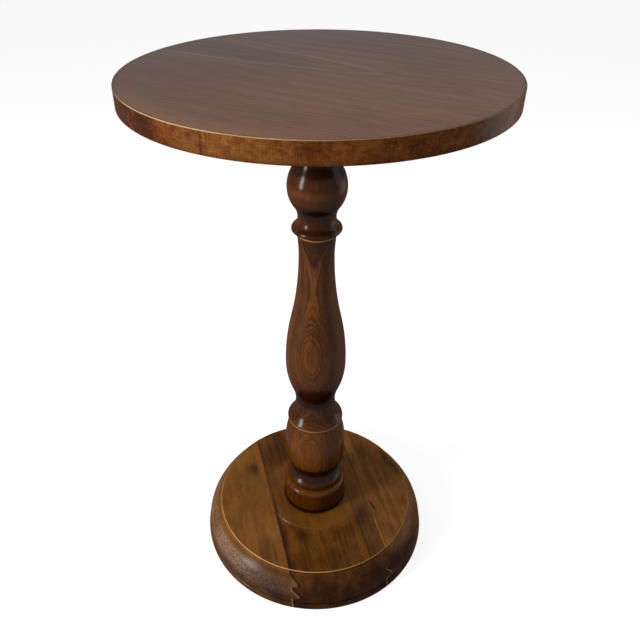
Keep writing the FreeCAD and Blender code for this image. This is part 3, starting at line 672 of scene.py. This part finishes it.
def make_felt(name):
    """Brown wool felt, matted from short fibres."""
    finish = Finish(name)
    place = finish.place()
    fibre = finish.noise(place, (0.25, 0.9, 0.25), 4, 0.7, 0.8)
    clump = finish.noise(place, (2.2, 2.2, 2.2), 3, 0.6)
    shade = finish.plus(finish.times(fibre, 0.6), finish.times(clump, 0.4))
    colour = finish.blend(finish.fade(shade, 0.35, 0.65), FELT_DARK, FELT_PALE)
    finish.lift((clump, 0.2), (fibre, 0.12))
    finish.feed(finish.shader.inputs["Base Color"], colour)
    finish.shader.inputs["Roughness"].default_value = 0.95
    finish.shader.inputs["Specular IOR Level"].default_value = 0.1
    finish.shader.inputs["Sheen Weight"].default_value = 0.25
    return finish.material


def dress(node, material):
    """Gives a piece of the frame its finish."""
    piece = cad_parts[node]
    for slot in piece.material_slots:
        slot.material = material


# The stage.

# The soft boxes, as (name, the setting of its power, width and height, place), in metres.
SOFT_BOXES = (
    ("Key soft box", "key_power", (0.42, 1.05), (-1.75, -0.95, 0.85)),
    ("Fill soft box", "fill_power", (1.3, 2.0), (2.0, 0.2, 1.25)),
    ("Low soft box", "low_power", (0.8, 0.4), (1.22, 0.42, 0.25)),
)


def seen_share(tree):
    """1 for rays from the camera and for those that mirror or pass through, 0 for light."""
    path = tree.nodes.new("ShaderNodeLightPath")
    seen = path.outputs["Is Camera Ray"]
    for name in ("Is Glossy Ray", "Is Transmission Ray"):
        either = tree.nodes.new("ShaderNodeMath")
        either.operation = "MAXIMUM"
        tree.links.new(seen, either.inputs[0])
        tree.links.new(path.outputs[name], either.inputs[1])
        seen = either.outputs[0]
    return seen


def make_floor(settings):
    """A wide pale floor that renders white where no shadow falls on it."""
    mesh = bmesh.new()
    bmesh.ops.create_grid(mesh, x_segments=1, y_segments=1, size=settings.floor_half)
    data = bpy.data.meshes.new("studio_floor")
    mesh.to_mesh(data)
    mesh.free()
    floor = bpy.data.objects.new("studio_floor", data)
    bpy.context.scene.collection.objects.link(floor)
    finish = Finish("Pale floor")
    finish.colour = (*settings.floor_colour, 1)
    finish.lacquer(0.9, 0, 0.5)
    finish.shader.inputs["Emission Color"].default_value = (1, 1, 1, 1)
    glow = finish.times(seen_share(finish.tree), settings.floor_glow)
    finish.feed(finish.shader.inputs["Emission Strength"], glow)
    data.materials.append(finish.material)


def make_world(scene, ambient):
    """Even room light, and white where the camera or a reflection sees past the floor."""
    world = bpy.data.worlds.new("Studio")
    world.use_nodes = True
    scene.world = world
    tree = world.node_tree
    background = tree.nodes["Background"]
    background.inputs["Color"].default_value = (1, 1, 1, 1)
    strength = tree.nodes.new("ShaderNodeMapRange")
    strength.inputs["To Min"].default_value = ambient
    strength.inputs["To Max"].default_value = 1
    tree.links.new(seen_share(tree), strength.inputs["Value"])
    tree.links.new(strength.outputs["Result"], background.inputs["Strength"])


def make_soft_box(name, power, size, place):
    """A rectangular soft light that faces the middle of the table."""
    light = bpy.data.lights.new(name, "AREA")
    light.shape = "RECTANGLE"
    light.size, light.size_y = size
    light.energy = power
    lamp = bpy.data.objects.new(name, light)
    bpy.context.scene.collection.objects.link(lamp)
    middle = Vector((0, 0, SHOULDER * MM / 2))
    facing = (middle - place).to_track_quat("-Z", "Y").to_matrix().to_4x4()
    lamp.matrix_world = Matrix.Translation(place) @ facing


# The camera stands in front of the table's axis and looks down on it. Its place is in metres, its turns in
# radians and its lens in millimetres, and its shift is a share of the frame.
CAMERA_PLACE = Vector((0, -0.64146, 0.79966))
CAMERA_PITCH = 0.6075
CAMERA_YAW = -0.0215
CAMERA_ROLL = -0.0034
CAMERA_LENS = 36.846
CAMERA_SHIFT = 0.0242


def make_camera():
    data = bpy.data.cameras.new("Camera")
    data.lens = CAMERA_LENS
    data.shift_x = CAMERA_SHIFT
    camera = bpy.data.objects.new("Camera", data)
    bpy.context.scene.collection.objects.link(camera)
    ahead = math.cos(CAMERA_PITCH)
    forward = Vector((math.sin(CAMERA_YAW) * ahead, math.cos(CAMERA_YAW) * ahead, -math.sin(CAMERA_PITCH)))
    level = Vector((math.cos(CAMERA_YAW), -math.sin(CAMERA_YAW), 0))
    upward = level.cross(forward)
    right = math.cos(CAMERA_ROLL) * level + math.sin(CAMERA_ROLL) * upward
    up = math.cos(CAMERA_ROLL) * upward - math.sin(CAMERA_ROLL) * level
    facing = Matrix((right, up, -forward)).transposed().to_4x4()
    camera.matrix_world = Matrix.Translation(CAMERA_PLACE) @ facing
    return camera


# Settings that a user would change.

def colour_setting(name, description, default):
    return FloatVectorProperty(
        name=name, description=description, default=default, subtype="COLOR", min=0, max=1,
    )


def length_setting(name, description, default):
    return FloatProperty(name=name, description=description, default=default, unit="LENGTH")


def turn_setting(name, description, degrees):
    return FloatProperty(name=name, description=description, default=math.radians(degrees), subtype="ANGLE")


def share_setting(name, description, default):
    return FloatProperty(name=name, description=description, default=default, min=0, max=1)


def power_setting(name, description, default):
    return FloatProperty(name=name, description=description, default=default, unit="POWER")


def index_setting(default):
    description = "Refractive index of the clear coat"
    return FloatProperty(name="Coat index", description=description, default=default, min=1, max=3)


class TopSettings(bpy.types.PropertyGroup):
    figure_turn: turn_setting("Figure turn", "Turns the veneer's figure", -149)
    figure_apex: FloatVectorProperty(
        name="Figure apex", description="Shifts the figure after it is turned, in millimetres",
        default=(54.3, 22.2, 0),
    )
    arch_bow: length_setting("Arch bow", "Square of the arch's half width over its depth", 0.0055)
    line_spacing: length_setting("Line spacing", "Between the veneer's grain lines", 0.0062)
    pale_colour: colour_setting("Pale", "Palest veneer", (0.138, 0.056, 0.026))
    dark_colour: colour_setting("Dark", "Darkest veneer", (0.074, 0.030, 0.016))
    front_colour: colour_setting("Front", "Veneer towards the front", (0.265, 0.101, 0.044))
    line_colour: colour_setting("Line", "Grain lines of the veneer", (0.036, 0.014, 0.009))
    cloud_colour: colour_setting("Cloud", "Redder clouds in the stain", (0.130, 0.050, 0.022))
    heart_colour: colour_setting("Heart", "Inside the veneer's arch", (0.050, 0.025, 0.023))
    arch_colour: colour_setting("Arch", "The veneer's arch", (0.21, 0.115, 0.066))
    # A painted golden highlight near the front left edge.
    edge_highlight_colour: colour_setting("Glow", "Golden veneer near the front left edge", (0.27, 0.115, 0.038))
    band_pale: colour_setting("Band pale", "Palest edge band", (0.215, 0.080, 0.018))
    band_colour: colour_setting("Band", "Edge band", (0.125, 0.035, 0.005))
    band_dark: colour_setting("Band dark", "Darkest edge band", (0.036, 0.008, 0.0015))
    # Rubbed corner of the band, and a painted highlight on it.
    band_wear_and_highlight: colour_setting("Band worn", "Worn upper corner of the band", (0.66, 0.43, 0.22))
    band_coat: share_setting("Band coat", "Weight of the clear coat on the edge band", 0.10)
    coat: share_setting("Coat", "Weight of the clear coat", 0.32)
    coat_roughness: share_setting("Coat roughness", "Roughness of the clear coat", 0.28)


class ColumnSettings(bpy.types.PropertyGroup):
    pith_turn: turn_setting("Pith turn", "Turns the log that the column is cut from", 9)
    pith_distance: length_setting("Pith distance", "From the column's axis to the log's pith", 0.11)
    pith_slant: FloatProperty(
        name="Pith slant", description="How far the grain runs out for its length", default=0.1,
    )
    slant_height: length_setting("Slant height", "Where the slant passes the column's axis", 0.4)
    ring_spacing: length_setting("Ring spacing", "Between growth rings", 0.0019)
    ring_wander: length_setting("Ring wander", "How far the rings wander", 0.0022)
    pale_colour: colour_setting("Pale", "Palest wood", (0.150, 0.048, 0.007))
    mid_colour: colour_setting("Middle", "Plain wood", (0.058, 0.0155, 0.002))
    line_colour: colour_setting("Line", "Late wood and fibres", (0.015, 0.003, 0.0006))
    gold_colour: colour_setting("Gold", "Golden streaks and the drum", (0.165, 0.054, 0.006))
    red_colour: colour_setting("Red", "Redder clouds in the stain", (0.062, 0.0125, 0.0013))
    # Stain and painted shade in the hollows.
    hollow_stain_and_shade_colour: colour_setting("Hollow", "Stain gathered in the hollows", (0.0055, 0.0007, 0.0003))
    # Thin stain with painted highlights on the lips.
    wear_and_highlight_colour: colour_setting("Worn", "Thin stain on the lips", (0.29, 0.17, 0.088))
    coat: share_setting("Coat", "Weight of the clear coat", 0.062)
    coat_roughness: share_setting("Coat roughness", "Roughness of the clear coat", 0.185)
    coat_ior: index_setting(2.1)


class BaseSettings(bpy.types.PropertyGroup):
    joint_turn: turn_setting("Joint turn", "From front-to-back to the glue joints", 14.5)
    left_pale: colour_setting("Left pale", "Left board", (0.210, 0.085, 0.018))
    left_dark: colour_setting("Left dark", "Left board", (0.160, 0.061, 0.012))
    centre_pale: colour_setting("Centre pale", "Centre board", (0.142, 0.052, 0.007))
    centre_dark: colour_setting("Centre dark", "Centre board", (0.066, 0.022, 0.003))
    strip_pale: colour_setting("Strip pale", "Narrow strip", (0.118, 0.046, 0.011))
    strip_dark: colour_setting("Strip dark", "Narrow strip", (0.055, 0.021, 0.006))
    right_pale: colour_setting("Right pale", "Right board", (0.190, 0.075, 0.016))
    right_dark: colour_setting("Right dark", "Right board", (0.126, 0.047, 0.010))
    line_colour: colour_setting("Line", "Late wood, pores and marks", (0.036, 0.012, 0.004))
    # Dark glue joints, and painted shade round the column's foot and in the groove at the floor.
    joint_and_shade_colour: colour_setting("Crease", "Stain in the joints and corners", (0.012, 0.004, 0.002))
    seat_colour: colour_setting("Seat", "Amber disc that the column stands on", (0.168, 0.063, 0.010))
    # Stain and painted shade low on the rim.
    rim_stain_and_shade_colour: colour_setting("Rim", "Dark stain low on the rim", (0.016, 0.0035, 0.001))
    # Pale pores of the end grain, and a painted highlight.
    fleck_and_highlight_colour: colour_setting("Flecks", "Pale pores of the end grain", (0.31, 0.22, 0.165))
    # Rubbed rim corner with a painted highlight, and pale joint lines.
    wear_and_highlight_colour: colour_setting("Worn", "Worn upper corner of the rim", (0.46, 0.25, 0.10))
    coat: share_setting("Coat", "Weight of the clear coat", 0.045)
    coat_roughness: share_setting("Coat roughness", "Roughness of the clear coat", 0.24)
    coat_ior: index_setting(1.9)


class StageSettings(bpy.types.PropertyGroup):
    floor_half: length_setting("Floor half width", "Middle of the floor to its edge", 14)
    floor_colour: colour_setting("Floor", "Pale studio floor", (0.38, 0.38, 0.38))
    floor_glow: FloatProperty(
        name="Floor glow", description="White that the camera sees added to the floor", default=0.78,
    )
    ambient: FloatProperty(name="Ambient", description="Even light from the room", default=0.4)
    key_power: power_setting("Key power", "Soft box at the front left", 54)
    fill_power: power_setting("Fill power", "Soft box at the right", 12)
    low_power: power_setting("Low power", "Small low soft box at the right", 3.2)


# Operators.

# The plain woods under the top's veneer, each as (pale, dark).
CORE_WOOD = ((0.34, 0.22, 0.12), (0.24, 0.15, 0.08))
BACKING_WOOD = ((0.17, 0.08, 0.036), (0.10, 0.043, 0.02))
BLOCK_WOOD = ((0.12, 0.05, 0.02), (0.055, 0.021, 0.009))
BLOCK_TURN = math.radians(30)


class SIDETABLE_OT_top(bpy.types.Operator):
    """Finish the veneers, the edge band and the board of the top"""
    bl_idname = "sidetable.top"
    bl_label = "Top"

    def execute(self, context):
        settings = context.scene.sidetable_top
        dress("top_face_veneer", make_veneer(settings))
        dress("top_edge_band", make_band(settings))
        dress("top_core", make_plain_wood("Top board", *CORE_WOOD))
        dress("top_backing_veneer", make_plain_wood("Backing veneer", *BACKING_WOOD))
        return {"FINISHED"}


class SIDETABLE_OT_block(bpy.types.Operator):
    """Finish the mounting block under the top, and its screws"""
    bl_idname = "sidetable.block"
    bl_label = "Mounting block"

    def execute(self, context):
        dress("mounting_block", make_plain_wood("Block wood", *BLOCK_WOOD, BLOCK_TURN))
        dress("mounting_block_screws", make_steel("Screw steel"))
        return {"FINISHED"}


class SIDETABLE_OT_column(bpy.types.Operator):
    """Finish the turned column"""
    bl_idname = "sidetable.column"
    bl_label = "Column"

    def execute(self, context):
        dress("column", make_column_wood(context.scene.sidetable_column))
        return {"FINISHED"}


class SIDETABLE_OT_base(bpy.types.Operator):
    """Finish the four boards of the base"""
    bl_idname = "sidetable.base"
    bl_label = "Base"

    def execute(self, context):
        settings = context.scene.sidetable_base
        for board in BOARDS:
            dress("base_board_" + board["side"], make_board_wood(board, settings))
        return {"FINISHED"}


class SIDETABLE_OT_underside(bpy.types.Operator):
    """Finish the lag screw, its washer and the felt pads under the base"""
    bl_idname = "sidetable.underside"
    bl_label = "Underside"

    def execute(self, context):
        for node, name in (("column_lag_screw", "Lag screw steel"), ("lag_washer", "Washer steel")):
            dress(node, make_steel(name))
        dress("base_felt_pads", make_felt("Pad felt"))
        return {"FINISHED"}


class SIDETABLE_OT_stage(bpy.types.Operator):
    """Set the floor, the soft lights and the camera"""
    bl_idname = "sidetable.stage"
    bl_label = "Stage"

    def execute(self, context):
        settings = context.scene.sidetable_stage
        make_floor(settings)
        make_world(context.scene, settings.ambient)
        for name, power, size, place in SOFT_BOXES:
            make_soft_box(name, getattr(settings, power), size, Vector(place))
        context.scene.camera = make_camera()
        context.scene.view_settings.view_transform = "Standard"
        return {"FINISHED"}


class SIDETABLE_PT_panel(bpy.types.Panel):
    """Lists the steps in the order that they run"""
    bl_idname = "SIDETABLE_PT_panel"
    bl_label = "Side table"
    bl_space_type = "VIEW_3D"
    bl_region_type = "UI"
    bl_category = "Side table"

    def draw(self, context):
        for operator in OPERATORS:
            self.layout.operator(operator.bl_idname)


SETTINGS = {
    "sidetable_top": TopSettings,
    "sidetable_column": ColumnSettings,
    "sidetable_base": BaseSettings,
    "sidetable_stage": StageSettings,
}
OPERATORS = (
    SIDETABLE_OT_top, SIDETABLE_OT_block, SIDETABLE_OT_column,
    SIDETABLE_OT_base, SIDETABLE_OT_underside, SIDETABLE_OT_stage,
)


def register():
    for group in SETTINGS.values():
        bpy.utils.register_class(group)
    for name, group in SETTINGS.items():
        setattr(bpy.types.Scene, name, PointerProperty(type=group))
    for operator in OPERATORS:
        bpy.utils.register_class(operator)
    bpy.utils.register_class(SIDETABLE_PT_panel)


def unregister():
    bpy.utils.unregister_class(SIDETABLE_PT_panel)
    for operator in reversed(OPERATORS):
        bpy.utils.unregister_class(operator)
    for name, group in reversed(SETTINGS.items()):
        delattr(bpy.types.Scene, name)
        bpy.utils.unregister_class(group)


def main():
    register()
    bpy.ops.sidetable.top()
    bpy.ops.sidetable.block()
    bpy.ops.sidetable.column()
    bpy.ops.sidetable.base()
    bpy.ops.sidetable.underside()
    bpy.ops.sidetable.stage()


if __name__ == "__main__":
    main()
